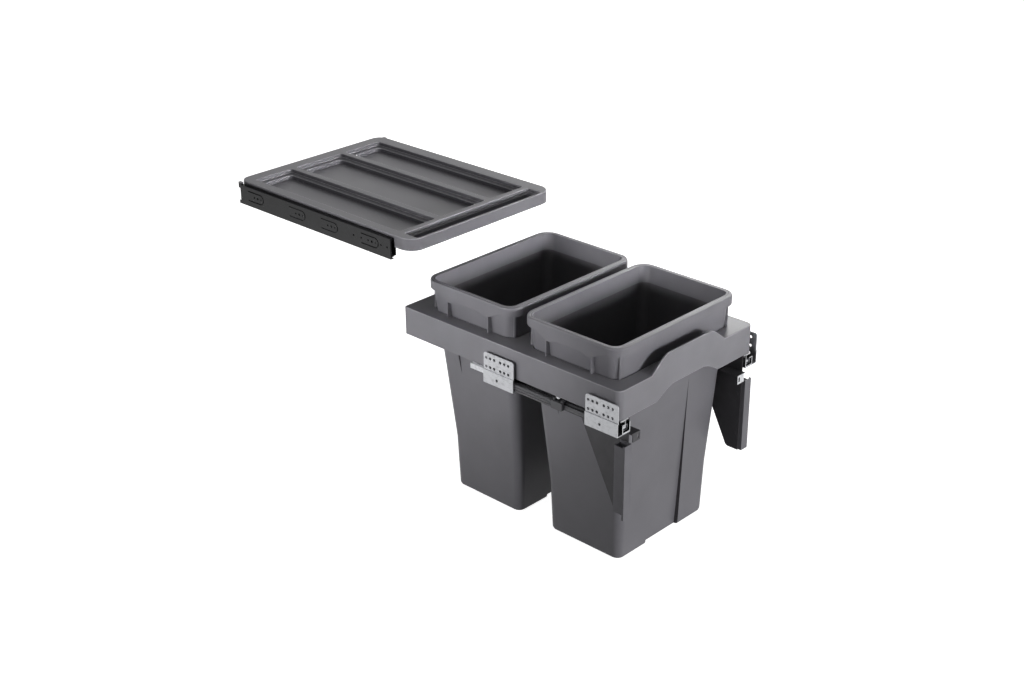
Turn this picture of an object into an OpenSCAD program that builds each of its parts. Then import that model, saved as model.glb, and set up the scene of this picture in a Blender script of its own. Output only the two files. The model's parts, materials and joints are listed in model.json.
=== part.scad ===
// Pull-out waste bin unit for a kitchen base cabinet: a carrier frame on two undermount
// runners with soft-close dampers, two lift-out bins with bag rings, two door brackets, and
// a lid tray on its own pair of ball-bearing slides. Drawn shut, with the lid unit parked
// behind and above the bins. Millimetres. X runs across the cabinet, Y into it and Z up.
// Origin: middle of the width, cabinet front plane, level of the bins' feet.

/* [Cabinet] */
// Inside width of the cabinet, measured over the mounting plates
cabinet_w = 368; // [360:1:400]
// Gap from the carrier frame to the cabinet side
side_gap = 9; // [7:0.5:14]

/* [Carrier frame] */
// Depth of the carrier frame
frame_d = 488; // [480:1:540]
// Height of the frame's top face above the bins' feet
frame_top = 354; // [330:1:400]
// Height of the frame's skirt
skirt_h = 51.4; // [46:0.2:60]
// Wall thickness of the frame
frame_t = 3; // [2.4:0.1:4]
// Radius of the frame's two front corners
frame_front_r = 12; // [6:1:20]
// Radius of the frame's two rear corners
frame_rear_r = 4; // [2:1:12]
// Height that the middle of the front wall rises above the frame's top
rise_h = 27; // [10:1:40]
// Distance from the middle to the start of the front wall's rise
rise_half = 96; // [80:1:120]
// Height of the arch cut in the lower edge of the front wall
arch_h = 19; // [8:1:30]
// Distance from the middle to the foot of the arch
arch_half = 81; // [60:1:110]
// Width of each ramp, on the rise and on the arch
ramp_w = 46; // [30:1:55]
// Depth of the stiffening collar under each bin opening
collar_h = 16; // [8:1:24]
// Thickness of the ribs under the frame
rib_t = 2.5; // [1.6:0.1:3.5]

/* [Bins] */
// Distance from the frame's side to a bin's rim
rim_margin = 18.5; // [16:0.5:25]
// Depth of a bin over its rim, front to back
rim_d = 209; // [190:1:209]
// Height of a bin
bin_h = 411; // [400:1:430]
// Height of the rim's outer skirt
rim_h = 16; // [12:1:20]
// Radius of the rim's corners
rim_r = 28; // [20:1:34]
// Distance from the rim's side in to the bin's wall at the frame's top
rim_in = 10; // [8:0.5:12]
// Gap round a bin's body in its frame opening
opening_gap = 1.5; // [1:0.25:2]
// Distance that each short side draws in, from the frame's top to the foot
side_taper = 30.5; // [25:0.5:40]
// Depth of a bin at its foot, front to back
foot_d = 156; // [144:1:165]
// Distance that the foot lies forward of the rim's middle
foot_shift = 3.25; // [0:0.25:8]
// Height of the knee, below which a bin's walls draw in faster
knee_z = 100; // [60:5:140]
// Distance that each wall draws in from the knee to the foot
knee_draw = 3.5; // [1:0.25:6]
// Radius of the bin's upright corners at the frame's top
body_r = 20; // [16:1:26]
// Radius of the bin's upright corners at the foot
foot_corner = 14; // [12:1:18]
// Radius along the bin's bottom edge
foot_round = 5; // [3:0.5:8]
// Wall thickness of a bin
bin_wall = 2.2; // [1.8:0.1:3]
// Depth of the front and rear panels at the foot
panel_depth = 8; // [3:1:10]
// Width of the front and rear panels
panel_w = 88; // [60:1:120]
// Height where the panels run out
panel_top = 290; // [240:5:310]
// Distance from the frame's front face to the front bin's rim
front_margin = 20; // [16:1:24]
// Gap between the two rims
bin_gap = 18; // [8:1:20]
// Width of a handle lip at its top
lip_w = 144; // [110:2:150]
// Depth of a handle lip under the rim's skirt
lip_drop = 13; // [8:1:18]
// Length of the slant at each end of a handle lip
lip_slant = 26; // [18:1:30]
// Thickness of a handle lip and of the ribs that carry the bin on the frame
lip_t = 2.5; // [2:0.1:3]
// Distance that the corner ribs stand out from the bin's wall
corner_rib = 5; // [4:0.5:7]
// Thickness of the gussets on the short sides
gusset_t = 2; // [1.5:0.1:3]
// Distance from the frame's top down to where a gusset runs out
gusset_h = 126; // [80:2:150]

/* [Bag rings] */
// Depth of a bag ring's collar
ring_h = 31; // [20:1:40]
// Wall thickness of a bag ring
ring_t = 2; // [1.5:0.1:3]
// Gap round a bag ring where it sits in the rim
ring_gap = 0.3; // [0.2:0.05:0.6]

/* [Mounting plates] */
// Width of a mounting plate, front to back
plate_w = 68; // [64:1:80]
// Height of a mounting plate
plate_h = 55.5; // [52:0.5:62]
// Thickness of the plate's sheet
plate_t = 1.5; // [1.2:0.1:2]
// Distance from the frame's top down to the plate's top edge
plate_drop = 19; // [14:0.5:22]
// Distance between the front and rear plates, a whole number of 32 mm steps
plate_pitch = 224; // [192:32:224]
// Diameter of the screw holes
hole_d = 5.2; // [4:0.1:5.5]
// Distance between neighbouring holes in a group of three
hole_pitch = 9; // [7:0.5:10]
// Distance between matching holes of the two groups
group_pitch = 32; // [30:1:34]
// Distance between the two rows of holes
row_pitch = 16; // [12:1:18]
// Height of the lower row of holes above the plate's foot
hole_rise = 30; // [29:0.5:32]
// Distance that the holes lie behind the plate's middle
hole_shift = 3; // [0:0.5:4]
// Diameter of the single hole in the plate's lower part
clip_hole_d = 5; // [4:0.5:7]
// Height of the single hole above the plate's foot
clip_rise = 11; // [8:0.5:13]
// Height of the plate's joggle above its foot
joggle_rise = 24; // [22:0.5:25]

/* [Bin runners] */
// Length of the runner's moving members
runner_len = 340; // [320:5:400]
// Distance from the cabinet member's rear end to the rear plate's rear edge
member_end = 2; // [0:0.5:10]
// Sheet thickness of the cabinet and drawer members
runner_t = 1.5; // [1.2:0.1:1.6]
// Sheet thickness of the middle member
middle_t = 1; // [0.8:0.1:1.1]
// Gap for a ball cage between two members
race_gap = 1.7; // [1.5:0.05:1.8]
// Thickness of a ball cage
cage_t = 1.2; // [1:0.05:1.3]
// Length of a ball cage
cage_len = 150; // [120:5:150]
// Number of balls in one row of a cage
cage_balls = 8; // [4:1:12]

/* [Damper] */
// Length of the damper's housing
damper_len = 130; // [100:5:150]
// Distance from the rear plate's rear edge to the housing's rear end
damper_end = 18; // [10:1:40]
// Length of the catch's track in front of the housing
catch_track = 80; // [75:1:100]
// Length of the catch
catch_len = 24; // [18:1:28]
// Height of the damper's housing
damper_h = 14; // [12:0.5:15]
// Thickness of the damper's housing
damper_w = 8.5; // [7:0.5:9]

/* [Door brackets] */
// Thickness of the bracket's sheet
bracket_t = 1.5; // [1.2:0.1:1.8]
// Length of the bracket plate at its top
bracket_len = 98; // [80:1:120]
// Height of the bracket plate under the frame
bracket_h = 181; // [160:1:200]
// Length of the bracket plate at its foot
bracket_foot = 28; // [22:1:40]
// Height of the door post
post_h = 135; // [110:1:150]
// Width of the door post
post_w = 17; // [14:0.5:20]
// Depth of the door post
post_d = 23; // [18:1:28]
// Distance that the door post stands in front of the frame
post_reach = 7; // [5:0.5:10]
// Width of the bracket's upper arm
arm_w = 20; // [16:1:22]
// Length of the bracket's upper arm
arm_len = 37; // [24:1:37]
// Height of the tab at the front of the arm
tab_h = 16; // [12:1:20]
// Distance from the door post's top down to its upper rivet
post_rivet_top = 28; // [20:1:40]
// Distance from the door post's foot up to its lower rivet
post_rivet_foot = 30; // [20:1:40]

/* [Lid tray] */
// Depth of the lid tray
lid_d = 472; // [440:1:500]
// Height of the lid tray's skirt
lid_h = 22; // [20:0.1:24]
// Height of the lid's top face above the bins' rims
lid_rise = 71.5; // [70:0.5:90]
// Gap between the rear bin's rim and the parked lid, seen from above
lid_gap = 4.5; // [1:0.5:10]
// Distance that the lid's top stands out over its rails on each side
lid_over = 4.7; // [2:0.1:5]
// Radius of the lid's front corners
lid_front_r = 28; // [20:1:36]
// Radius of the lid's rear corners
lid_rear_r = 21; // [14:1:30]
// Wall thickness of the lid
lid_t = 2.5; // [2:0.1:3]
// Depth of the lid's pockets
pocket_h = 15; // [10:0.5:16]
// Width of the ledge halfway down a pocket's wall
ledge_w = 11; // [6:1:14]
// Radius of a pocket's corners
pocket_r = 5; // [3:0.5:8]
// Radius of the corners of a pocket's floor
floor_r = 9; // [5:0.5:12]
// Distance from the lid's front edge to the pockets
pocket_front = 50; // [48:1:70]
// Distance from the lid's rear edge to the pockets
pocket_rear = 26.5; // [24:0.5:50]
// Distance from the lid's left edge to the pockets and the groove
pocket_left = 19; // [14:1:26]
// Distance from the lid's right edge to the pockets and the groove
pocket_right = 27; // [18:1:32]
// Distance from the middle to the left divider
divider_left = 66.5; // [60:0.5:76]
// Distance from the middle to the right divider
divider_right = 58; // [50:0.5:66]
// Width of a divider
divider_w = 13; // [10:1:26]
// Width of the lip in front of the groove
groove_lip = 4.5; // [3:0.5:4.5]
// Width of the groove along the lid's front edge
groove_d = 33; // [26:1:36]
// Width of the ledge halfway down the groove's wall
groove_ledge = 5; // [2:0.5:8]

/* [Lid rails] */
// Height of a lid rail
lid_rail_h = 37.2; // [35:0.2:40]
// Thickness of a lid rail
lid_rail_t = 11; // [10.5:0.1:12]
// Distance from the lid's front edge to the rails
lid_rail_back = 47; // [45:1:60]
// Distance from the rails' rear ends to the lid's rear edge
lid_rail_end = 6; // [0:0.5:20]
// Distance from the lid's top face down to the rail's top
lid_rail_drop = 7.1; // [5:0.1:9]
// Diameter of the screw hole in a fixing tab
tab_hole_d = 4.5; // [4:0.1:5.5]
// Width of the slit round a fixing tab
tab_slit_w = 2; // [1:0.1:2.4]
// Depth of the notch in the rear end of a cabinet member's web
web_notch = 7; // [3:0.5:12]
// Sheet thickness of the lid rails
lid_sheet = 1.2; // [1:0.05:1.3]
// Gap for a ball cage in a lid rail
lid_race_gap = 1.9; // [1.8:0.05:2]
// Thickness of a lid rail's ball cage
lid_cage_t = 1.4; // [1.2:0.05:1.4]
// Length of a lid rail's ball cage
lid_cage_len = 205; // [180:5:205]
// Number of balls in one row of a lid rail's cage
lid_cage_balls = 10; // [6:1:12]

/* [Hidden] */
$fn = 48;

// Clearances and small allowances
seat = 0.3;
fit = 0.05;
thin = 0.5;
cut = 1;

// Widths that follow the cabinet
cabinet_x = cabinet_w / 2;
frame_w = cabinet_w - 2 * side_gap;
lid_w = cabinet_w - 2 * lid_rail_t;

// Bin sections and places
rim_w = frame_w - 2 * rim_margin;
body_w = rim_w - 2 * rim_in;
body_d = rim_d - 2 * rim_in;
foot_w = body_w - 2 * side_taper;
lean_w = side_taper - knee_draw;
open_w = body_w + 2 * opening_gap;
open_d = body_d + 2 * opening_gap;
seat_z = frame_top + seat;
skirt_z = bin_h - rim_h;
front_bin_y = front_margin + rim_d / 2;
rear_bin_y = front_bin_y + rim_d + bin_gap;
bins_end = rear_bin_y + rim_d / 2;
gusset_ys = [-67, 39];
// Ledge that carries the bag ring's flange, and its depth under the rim
ledge = 1.6;
rebate_h = ring_t + 0.5;

// Frame levels
frame_foot = frame_top - skirt_h;
frame_in = frame_w / 2 - frame_t;
top_under = frame_top - frame_t;

// Runner section, as distances out from the middle plane and heights
runner_y = -4;
runner_out = frame_w / 2 - 3.3;
runner_in_w = 15.8;
cav_out = runner_out - runner_t;
cav_in = cav_out - runner_in_w;
runner_in = cav_in - runner_t;
slide_top = frame_foot - seat;
slide_under = slide_top - runner_t;
flange_z = frame_top - plate_drop - plate_h;
runner_z = flange_z + plate_t;
cav_z = runner_z + runner_t;
lip_z = runner_z + 15.6;
inner_wall_z = slide_under - runner_t - 1.3;
lip_in = cav_in + 8.6;
mid_out = cav_out - race_gap;
mid_in = cav_in + race_gap;
mid_z = cav_z + race_gap;
mid_top = mid_z + 9.2;
foot_out = mid_out - middle_t - race_gap;
foot_in = mid_in + middle_t + race_gap;
foot_z = mid_z + middle_t + race_gap;
foot_top = foot_z + 3.8;
screw_x = foot_in + runner_t + 4.2;
screw_inset = 60;
screw_ys = [screw_inset, runner_len / 2, runner_len - screw_inset];
member_len = plate_pitch + plate_w - member_end;
screw_len = 14;
boss_r = 4.5;
shank_r = 1.75;
head_r = 3.3;
head_h = 2;
rivet_r = 1.6;
cage_y = runner_y + (runner_len - cage_len) / 2;

// Damper places, from between the plates to behind the rear plate
damper_y = runner_y + plate_pitch + plate_w - damper_end - damper_len;
damper_z = runner_z + 0.4;
track_w = 2.8;
catch_y = damper_y - catch_len;
pin_y = catch_y + catch_len / 2;

// Door bracket places
bracket_x = runner_in - 3.4;
post_x = bracket_x + bracket_t;
arm_z = flange_z - 6;
post_z = arm_z - tab_h;
bracket_top = slide_under;
bracket_rivet_x = (runner_in + foot_in) / 2 - 0.4;
bracket_rivet_ys = [20, bracket_len - 20];
post_rivet_zs = [post_z - post_rivet_top, post_z - post_h + post_rivet_foot];
post_rivet_y = 8;

// Lid levels and rail section
lid_y = bins_end + lid_gap;
lid_top = bin_h + lid_rise;
lid_foot = lid_top - lid_h;
rail_top = lid_top - lid_rail_drop;
rail_z = rail_top - lid_rail_h;
rail_y = lid_y + lid_rail_back;
lid_rail_len = lid_d - lid_rail_back - lid_rail_end;
rail_mid_z = rail_z + lid_rail_h / 2;
web_in = cabinet_x - lid_sheet;
race_2 = lid_rail_h / 2 - lid_sheet - lid_race_gap;
race_3 = race_2 - lid_sheet - lid_race_gap;
mid_web = web_in - lid_race_gap / 2 - 0.3;
inner_web = lid_w / 2 + seat;
inner_reach = mid_web - lid_sheet - 1.3;
lid_cage_y = rail_y + (lid_rail_len - lid_cage_len) / 2;
lug_h = 20;
lug_w = 34;
lug_inset = 60;
lug_ys = [lug_inset, lid_rail_len - lug_inset];
lid_wide = lid_w + 2 * lid_over;
// Gap in front of the lid rails, where the lid's sides step out
lid_step_gap = 4;
// Fixing tabs along the cabinet member, from its front end, and the small holes between
bay_ys = [30, 137, 226, 346];
bay_len = 45;
lone_ys = [8.5, 24, 75, 95];
tab_hole_y = 17.5;
hole_line_z = rail_mid_z + 2;
// Distance that the inner members stand out in front of the cabinet members
inner_front = 2.5;
lid_head_r = 3.5;
lid_head_h = 1.8;

plastic = "#6e6d72";
plastic_dark = "#4c4b4f";
zinc = "#c8c8cc";
black_steel = "#2a2a2c";
bright = "#a9a9ad";

// Plain helpers

// Rectangle with four equal round corners, centred
module round_rect(w, d, r) {
    square([w, d - 2 * r], center = true);
    square([w - 2 * r, d], center = true);
    for (x = [-1, 1], y = [-1, 1])
        translate([x * (w / 2 - r), y * (d / 2 - r)])
            circle(r);
}

// Rectangle from one corner to another, with front and rear corner radii
module corner_rect(x0, y0, x1, y1, rf, rr) {
    translate([x0 + rf, y0]) square([x1 - x0 - 2 * rf, y1 - y0 - rr]);
    translate([x0 + rr, y0 + rf]) square([x1 - x0 - 2 * rr, y1 - y0 - rf]);
    translate([x0, y0 + rf]) square([x1 - x0, y1 - y0 - rf - rr]);
    for (x = [x0 + rf, x1 - rf]) translate([x, y0 + rf]) circle(rf);
    for (x = [x0 + rr, x1 - rr]) translate([x, y1 - rr]) circle(rr);
}

// Upright slab of a 2D outline, from one height to another
module slab(z0, z1) {
    translate([0, 0, z0]) linear_extrude(z1 - z0) children();
}

// A section drawn across the cabinet (out, up), pulled along Y
module along_y(y0, length) {
    translate([0, y0 + length, 0]) rotate([90, 0, 0]) linear_extrude(length) children();
}

// An outline drawn from the side (depth, up), pulled across X
module across_x(x0, width) {
    translate([x0, 0, 0]) rotate([90, 0, 90]) linear_extrude(width) children();
}

// Rectangle between two corners
module span(x0, z0, x1, z1) {
    translate([x0, z0]) square([x1 - x0, z1 - z0]);
}

// Cylinder lying along X, from x0 outwards
module pin_x(x0, y, z, r, length) {
    translate([x0, y, z]) rotate([0, 90, 0]) cylinder(r = r, h = length);
}

// The matching piece on the left
module left() {
    mirror([1, 0, 0]) children();
}

// Two rows of balls along Y at each of the given section points
module ball_rows(points, y0, length, count, r) {
    step = length / count;
    for (p = points, i = [0 : count - 1])
        translate([p[0], y0 + step * (i + 0.5), p[1]]) sphere(r, $fn = 24);
}

// Mounting plates and cabinet runners

module mount_plate(y0) {
    upper_out = cabinet_x - plate_t;
    joggle_z = flange_z + joggle_rise;
    mid_y = y0 + plate_w / 2 + hole_shift;
    hole_z = flange_z + hole_rise;
    top_r = 5;
    color(zinc) difference() {
        union() {
            across_x(upper_out - plate_t, plate_t)
                corner_rect(y0, joggle_z - plate_t, y0 + plate_w, flange_z + plate_h, thin, top_r);
            along_y(y0, plate_w) {
                span(cabinet_x - plate_t, flange_z, cabinet_x, joggle_z);
                span(upper_out - plate_t, joggle_z - plate_t, cabinet_x, joggle_z);
                span(runner_in, flange_z, cabinet_x, runner_z);
            }
        }
        for (side = [-1, 1], i = [-1 : 1], row = [0, 1])
            pin_x(upper_out - plate_t - cut, mid_y + side * group_pitch / 2 + i * hole_pitch,
                hole_z + row * row_pitch, hole_d / 2, plate_t + 2 * cut);
        pin_x(cabinet_x - plate_t - cut, mid_y, flange_z + clip_rise, clip_hole_d / 2, plate_t + 2 * cut);
        runner_rivet_places(y0) cylinder(r = rivet_r + fit, h = 2 * plate_t + runner_t, center = true);
    }
}

// Two places along a plate where the runner is riveted to its flange
module runner_rivet_places(y0) {
    for (y = [14, plate_w - 14])
        translate([(cav_in + cav_out) / 2, y0 + y, runner_z]) children();
}

module runner_cabinet() {
    color(zinc) difference() {
        along_y(runner_y, member_len) {
            span(cav_out, runner_z, runner_out, lip_z);
            span(lip_in, lip_z - runner_t, runner_out, lip_z);
            span(runner_in, runner_z, runner_out, cav_z);
            span(runner_in, runner_z, cav_in, inner_wall_z);
        }
        for (y0 = [runner_y, runner_y + plate_pitch])
            runner_rivet_places(y0)
                cylinder(r = rivet_r + fit, h = 2 * plate_t + runner_t, center = true);
    }
}

// A flat-headed rivet through the plate's flange and the runner's floor
module runner_rivet() {
    translate([0, 0, -plate_t]) cylinder(r = rivet_r, h = plate_t + runner_t);
    translate([0, 0, -plate_t - 0.8]) cylinder(r = 3, h = 0.8);
}

module runner_rivets() {
    color(bright) for (y0 = [runner_y, runner_y + plate_pitch]) {
        runner_rivet_places(y0) runner_rivet();
        left() runner_rivet_places(y0) runner_rivet();
    }
}

module damper_housing() {
    rib_count = 9;
    rib_step = damper_len / rib_count;
    groove = 1;
    color(plastic_dark) difference() {
        union() {
            across_x(runner_out, damper_w)
                corner_rect(damper_y, damper_z, damper_y + damper_len, damper_z + damper_h, 2, 2);
            across_x(runner_out, track_w)
                span(damper_y - catch_track, damper_z + 3, damper_y + thin, damper_z + damper_h - 4);
            pin_x(runner_out, damper_y - catch_track + 6, damper_z + damper_h / 2 - 0.5, 4, track_w);
        }
        for (z = [4, damper_h / 2, damper_h - 4])
            along_y(damper_y - cut, damper_len + 2 * cut)
                span(runner_out + damper_w - groove, damper_z + z - 0.6,
                    runner_out + damper_w + cut, damper_z + z + 0.6);
        for (i = [1 : rib_count - 1])
            translate([runner_out + damper_w - groove / 2, damper_y + i * rib_step, damper_z + damper_h])
                cube([damper_w, 1.6, 3], center = true);
    }
}

module damper_catch() {
    gap = 0.4;
    x0 = runner_out + track_w + gap;
    x1 = runner_out + damper_w;
    hook_t = 4;
    hook_top = slide_under - 1.9;
    color(plastic_dark) {
        across_x(x0, x1 - x0)
            corner_rect(catch_y, damper_z, catch_y + catch_len - thin, damper_z + damper_h, 1.5, 1.5);
        for (z = [damper_z, damper_z + damper_h - 2.5])
            across_x(runner_out + gap, x0 - runner_out)
                span(catch_y + 2, z, catch_y + catch_len - 2, z + 2);
        for (y = [catch_y + 1, catch_y + catch_len - hook_t - 2])
            across_x(runner_out + gap, track_w + 2) span(y, damper_z + damper_h - 2.5, y + hook_t, hook_top);
    }
}

// Moving runner members

// A cage that lies in the gap around a channel: two sides and a floor
module channel_cage(in_x, out_x, z0, gap, height, y0) {
    slack = (gap - cage_t) / 2;
    color(bright) {
        along_y(y0, cage_len) {
            span(in_x + slack, z0 + slack, out_x - slack, z0 + slack + cage_t);
            span(in_x + slack, z0 + slack, in_x + slack + cage_t, z0 + height);
            span(out_x - slack - cage_t, z0 + slack, out_x - slack, z0 + height);
        }
        ball_rows([[in_x + gap / 2, z0 + height - 2], [out_x - gap / 2, z0 + height - 2]],
            y0, cage_len, cage_balls, gap / 2 - fit);
    }
}

module runner_cage_outer() {
    channel_cage(cav_in, cav_out, cav_z, race_gap, 9, cage_y);
}

module runner_middle() {
    color(zinc) along_y(runner_y + 2, runner_len - 4) {
        span(mid_in, mid_z, mid_out, mid_z + middle_t);
        span(mid_in, mid_z, mid_in + middle_t, mid_top);
        span(mid_out - middle_t, mid_z, mid_out, mid_top);
        span(lip_in, mid_top - middle_t, mid_out, mid_top);
    }
}

module runner_cage_inner() {
    channel_cage(mid_in + middle_t, mid_out - middle_t, mid_z + middle_t, race_gap, 5.5, cage_y);
}

module runner_drawer() {
    y0 = 0;
    length = runner_len - 4;
    tab_out = runner_out + track_w + 1.5;
    color(zinc) difference() {
        union() {
            along_y(y0, length) {
                span(foot_in, foot_z, foot_out, foot_top);
                span(foot_in, foot_z, foot_in + runner_t, slide_top);
                span(runner_in, slide_under, frame_in - 2, slide_top);
            }
            along_y(pin_y - 4, 8) span(foot_in, slide_under, tab_out, slide_top);
            along_y(pin_y - 1.5, 3) span(tab_out - 3, slide_under - 1.5, tab_out, slide_top);
        }
        for (y = screw_ys)
            translate([screw_x, y, slide_under - cut]) cylinder(r = shank_r + fit, h = runner_t + 2 * cut);
        for (y = bracket_rivet_ys)
            translate([bracket_rivet_x, y, slide_under - cut])
                cylinder(r = rivet_r + fit, h = runner_t + 2 * cut);
    }
}

// Carrier frame

// Smooth ramp from 0 to 1: a straight slope that eases into the level
function ease(t) = t < 0.45 ? 1.35 * t : 1 - 0.3925 * pow((1 - t) / 0.55, 1.9);

// Points of a raised outline from -half to half, with a ramp at each end
function raised(half, h, base, steps) = concat(
    [for (i = [0 : steps]) [-half + ramp_w * i / steps, base + h * ease(i / steps)]],
    [for (i = [steps : -1 : 0]) [half - ramp_w * i / steps, base + h * ease(i / steps)]]);

module frame_opening(y, grow) {
    translate([0, y]) round_rect(open_w + 2 * grow, open_d + 2 * grow, body_r + grow);
}

module carrier_frame() {
    ramp_steps = 12;
    side = frame_w / 2;
    bearer_in = runner_in + 0.6;
    bridge_y = front_bin_y + rim_d / 2 + bin_gap / 2;
    color(plastic) difference() {
        union() {
            difference() {
                slab(frame_foot, frame_top)
                    corner_rect(-side, 0, side, frame_d, frame_front_r, frame_rear_r);
                slab(frame_foot - cut, top_under)
                    corner_rect(-frame_in, frame_t, frame_in, frame_d - frame_t,
                        frame_front_r - frame_t, max(frame_rear_r - frame_t, 1));
            }
            // Raised middle of the front wall
            along_y(0, frame_t)
                polygon(concat(raised(rise_half, rise_h, frame_top, ramp_steps),
                    [[rise_half, frame_top - 2], [-rise_half, frame_top - 2]]));
            // Collars round the bin openings, and ribs between them
            for (y = [front_bin_y, rear_bin_y])
                slab(top_under - collar_h, top_under + thin) frame_opening(y, frame_t);
            for (y = [bridge_y - 8, bridge_y + 8 - rib_t])
                along_y(y, rib_t) span(-open_w / 2, top_under - 2 * rib_t - collar_h, open_w / 2, top_under + thin);
            // Bearers and screw bosses over the runners
            for (x = [-1, 1]) {
                for (edge = [[bearer_in, bearer_in + rib_t], [frame_in - 4, frame_in - 4 + rib_t]])
                    translate([x > 0 ? 0 : -edge[0] - edge[1], 0])
                        along_y(frame_t - thin, frame_d - 2 * frame_t + 2 * thin)
                            span(edge[0], slide_top, edge[1], top_under + thin);
                for (y = screw_ys)
                    translate([x * screw_x, y, slide_top]) cylinder(r = boss_r, h = top_under - slide_top + thin);
            }
        }
        for (y = [front_bin_y, rear_bin_y])
            slab(frame_foot - cut, frame_top + cut) frame_opening(y, 0);
        // Arch in the lower edge of the front wall
        along_y(-cut, frame_t + 2 * cut)
            polygon(concat(raised(arch_half, arch_h, frame_foot, ramp_steps),
                [[arch_half, frame_foot - 5], [-arch_half, frame_foot - 5]]));
        for (x = [-1, 1], y = screw_ys)
            translate([x * screw_x, y, slide_top - cut]) cylinder(r = shank_r + fit, h = screw_len + 2 + cut);
    }
}

module frame_screws() {
    module screw() {
        translate([0, 0, -head_h]) difference() {
            cylinder(r = head_r, h = head_h);
            for (a = [0, 90])
                rotate(a) cube([3.6, 0.9, 2], center = true);
        }
        cylinder(r = shank_r, h = screw_len);
    }
    color(bright) for (x = [-1, 1], y = screw_ys)
        translate([x * screw_x, y, slide_under]) screw();
}

// Door brackets

module door_bracket() {
    foot_r = 8;
    rear_drop = 36;
    bottom = frame_foot - bracket_h;
    slot_w = 4;
    slot_h = 9;
    arm_in = bracket_x - arm_w;
    color(plastic_dark) difference() {
        union() {
            // Side plate with a slanted rear edge and a rounded foot
            across_x(bracket_x, bracket_t) hull() {
                span(0, bracket_top - bracket_t, bracket_len, bracket_top);
                span(bracket_len - 1, bracket_top - rear_drop, bracket_len, bracket_top);
                translate([bracket_foot - foot_r, bottom + foot_r]) circle(foot_r, $fn = 32);
                span(0, bottom, 1, bracket_top);
            }
            // Top flange under the drawer member
            along_y(0, bracket_len) span(bracket_x, bracket_top - bracket_t, foot_in - 0.4, bracket_top);
            // Upper arm and its front tab
            along_y(-post_reach + 1, arm_len) span(arm_in, arm_z - bracket_t, bracket_x + bracket_t, arm_z);
            along_y(-post_reach + 1, bracket_t) span(arm_in, arm_z - tab_h, bracket_x - 2, arm_z);
        }
        translate([arm_in + 4.5, -post_reach, arm_z - tab_h / 2]) rotate([-90, 0, 0]) {
            for (z = [-1, 1])
                translate([0, z * (slot_h - slot_w) / 2, -cut]) cylinder(r = slot_w / 2, h = 5 + cut);
            translate([-slot_w / 2, -(slot_h - slot_w) / 2, -cut]) cube([slot_w, slot_h - slot_w, 5 + cut]);
        }
        for (y = bracket_rivet_ys)
            translate([bracket_rivet_x, y, bracket_top - bracket_t - cut])
                cylinder(r = rivet_r + fit, h = bracket_t + 2 * cut);
        for (z = post_rivet_zs)
            pin_x(bracket_x - cut, post_rivet_y, z, rivet_r + fit, bracket_t + 2 * cut);
    }
}

module door_post() {
    wall = bracket_t;
    front = -post_reach;
    rear = front + post_d;
    out = post_x + post_w;
    bottom = post_z - post_h;
    side_cut = 9;
    lip = 4;
    color(plastic) difference() {
        union() {
            slab(bottom, post_z) {
                translate([post_x, front]) square([post_w, wall]);
                translate([post_x, front]) square([wall, post_d]);
                translate([out - wall, front]) square([wall, lip]);
            }
            slab(bottom + side_cut, post_z - lip) {
                translate([out - 2 * wall, front + lip - wall]) square([2 * wall, wall]);
                translate([out - 2 * wall, front + lip - wall]) square([wall, post_d - lip + wall]);
                translate([post_x, rear - wall]) square([post_w - wall, wall]);
            }
        }
        for (z = post_rivet_zs)
            pin_x(post_x - cut, post_rivet_y, z, rivet_r + fit, wall + 2 * cut);
    }
}

// Rivets that hold each bracket under its runner and each post to its bracket
module bracket_rivets() {
    module one_side() {
        for (y = bracket_rivet_ys)
            translate([bracket_rivet_x, y, bracket_top - bracket_t]) {
                translate([0, 0, -0.7]) cylinder(r = 2.6, h = 0.7);
                cylinder(r = rivet_r, h = bracket_t + runner_t);
            }
        for (z = post_rivet_zs) {
            pin_x(bracket_x - 0.9, post_rivet_y, z, 3, 0.9);
            pin_x(bracket_x, post_rivet_y, z, rivet_r, 2 * bracket_t);
        }
    }
    color(bright) {
        one_side();
        left() one_side();
    }
}

// Bins

// Distance that a wall stands out from its place at the foot, up to the knee
function draw(z) = knee_draw * min(z, knee_z) / knee_z;

// Share of the way from the knee to the frame's top
function lean(z) = z < knee_z ? 0 : (z - knee_z) / (seat_z - knee_z);

// Bin's front face at a height, measured from the middle of the rim
function face_y(z) = -foot_shift - foot_d / 2 - draw(z)
    + lean(z) * (foot_shift + foot_d / 2 + knee_draw - body_d / 2);

// Bin's short side at a height, out from the middle
function side_x(z) = foot_w / 2 + draw(z) + lean(z) * lean_w;

// Bin's rear face at a height
function back_y(z) = -foot_shift + foot_d / 2 + draw(z)
    + lean(z) * (body_d / 2 + foot_shift - foot_d / 2 - knee_draw);

// Radius of the bin's upright corners at a height
function corner_r(z) = foot_corner + (body_r - foot_corner) * z / seat_z;

// Outline of the bin's wall at a height, drawn in by an inset
module section(z, inset) {
    translate([0, (face_y(z) + back_y(z)) / 2])
        round_rect(2 * side_x(z) - 2 * inset, back_y(z) - face_y(z) - 2 * inset,
            corner_r(z) - inset, $fn = 32);
}

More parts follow.
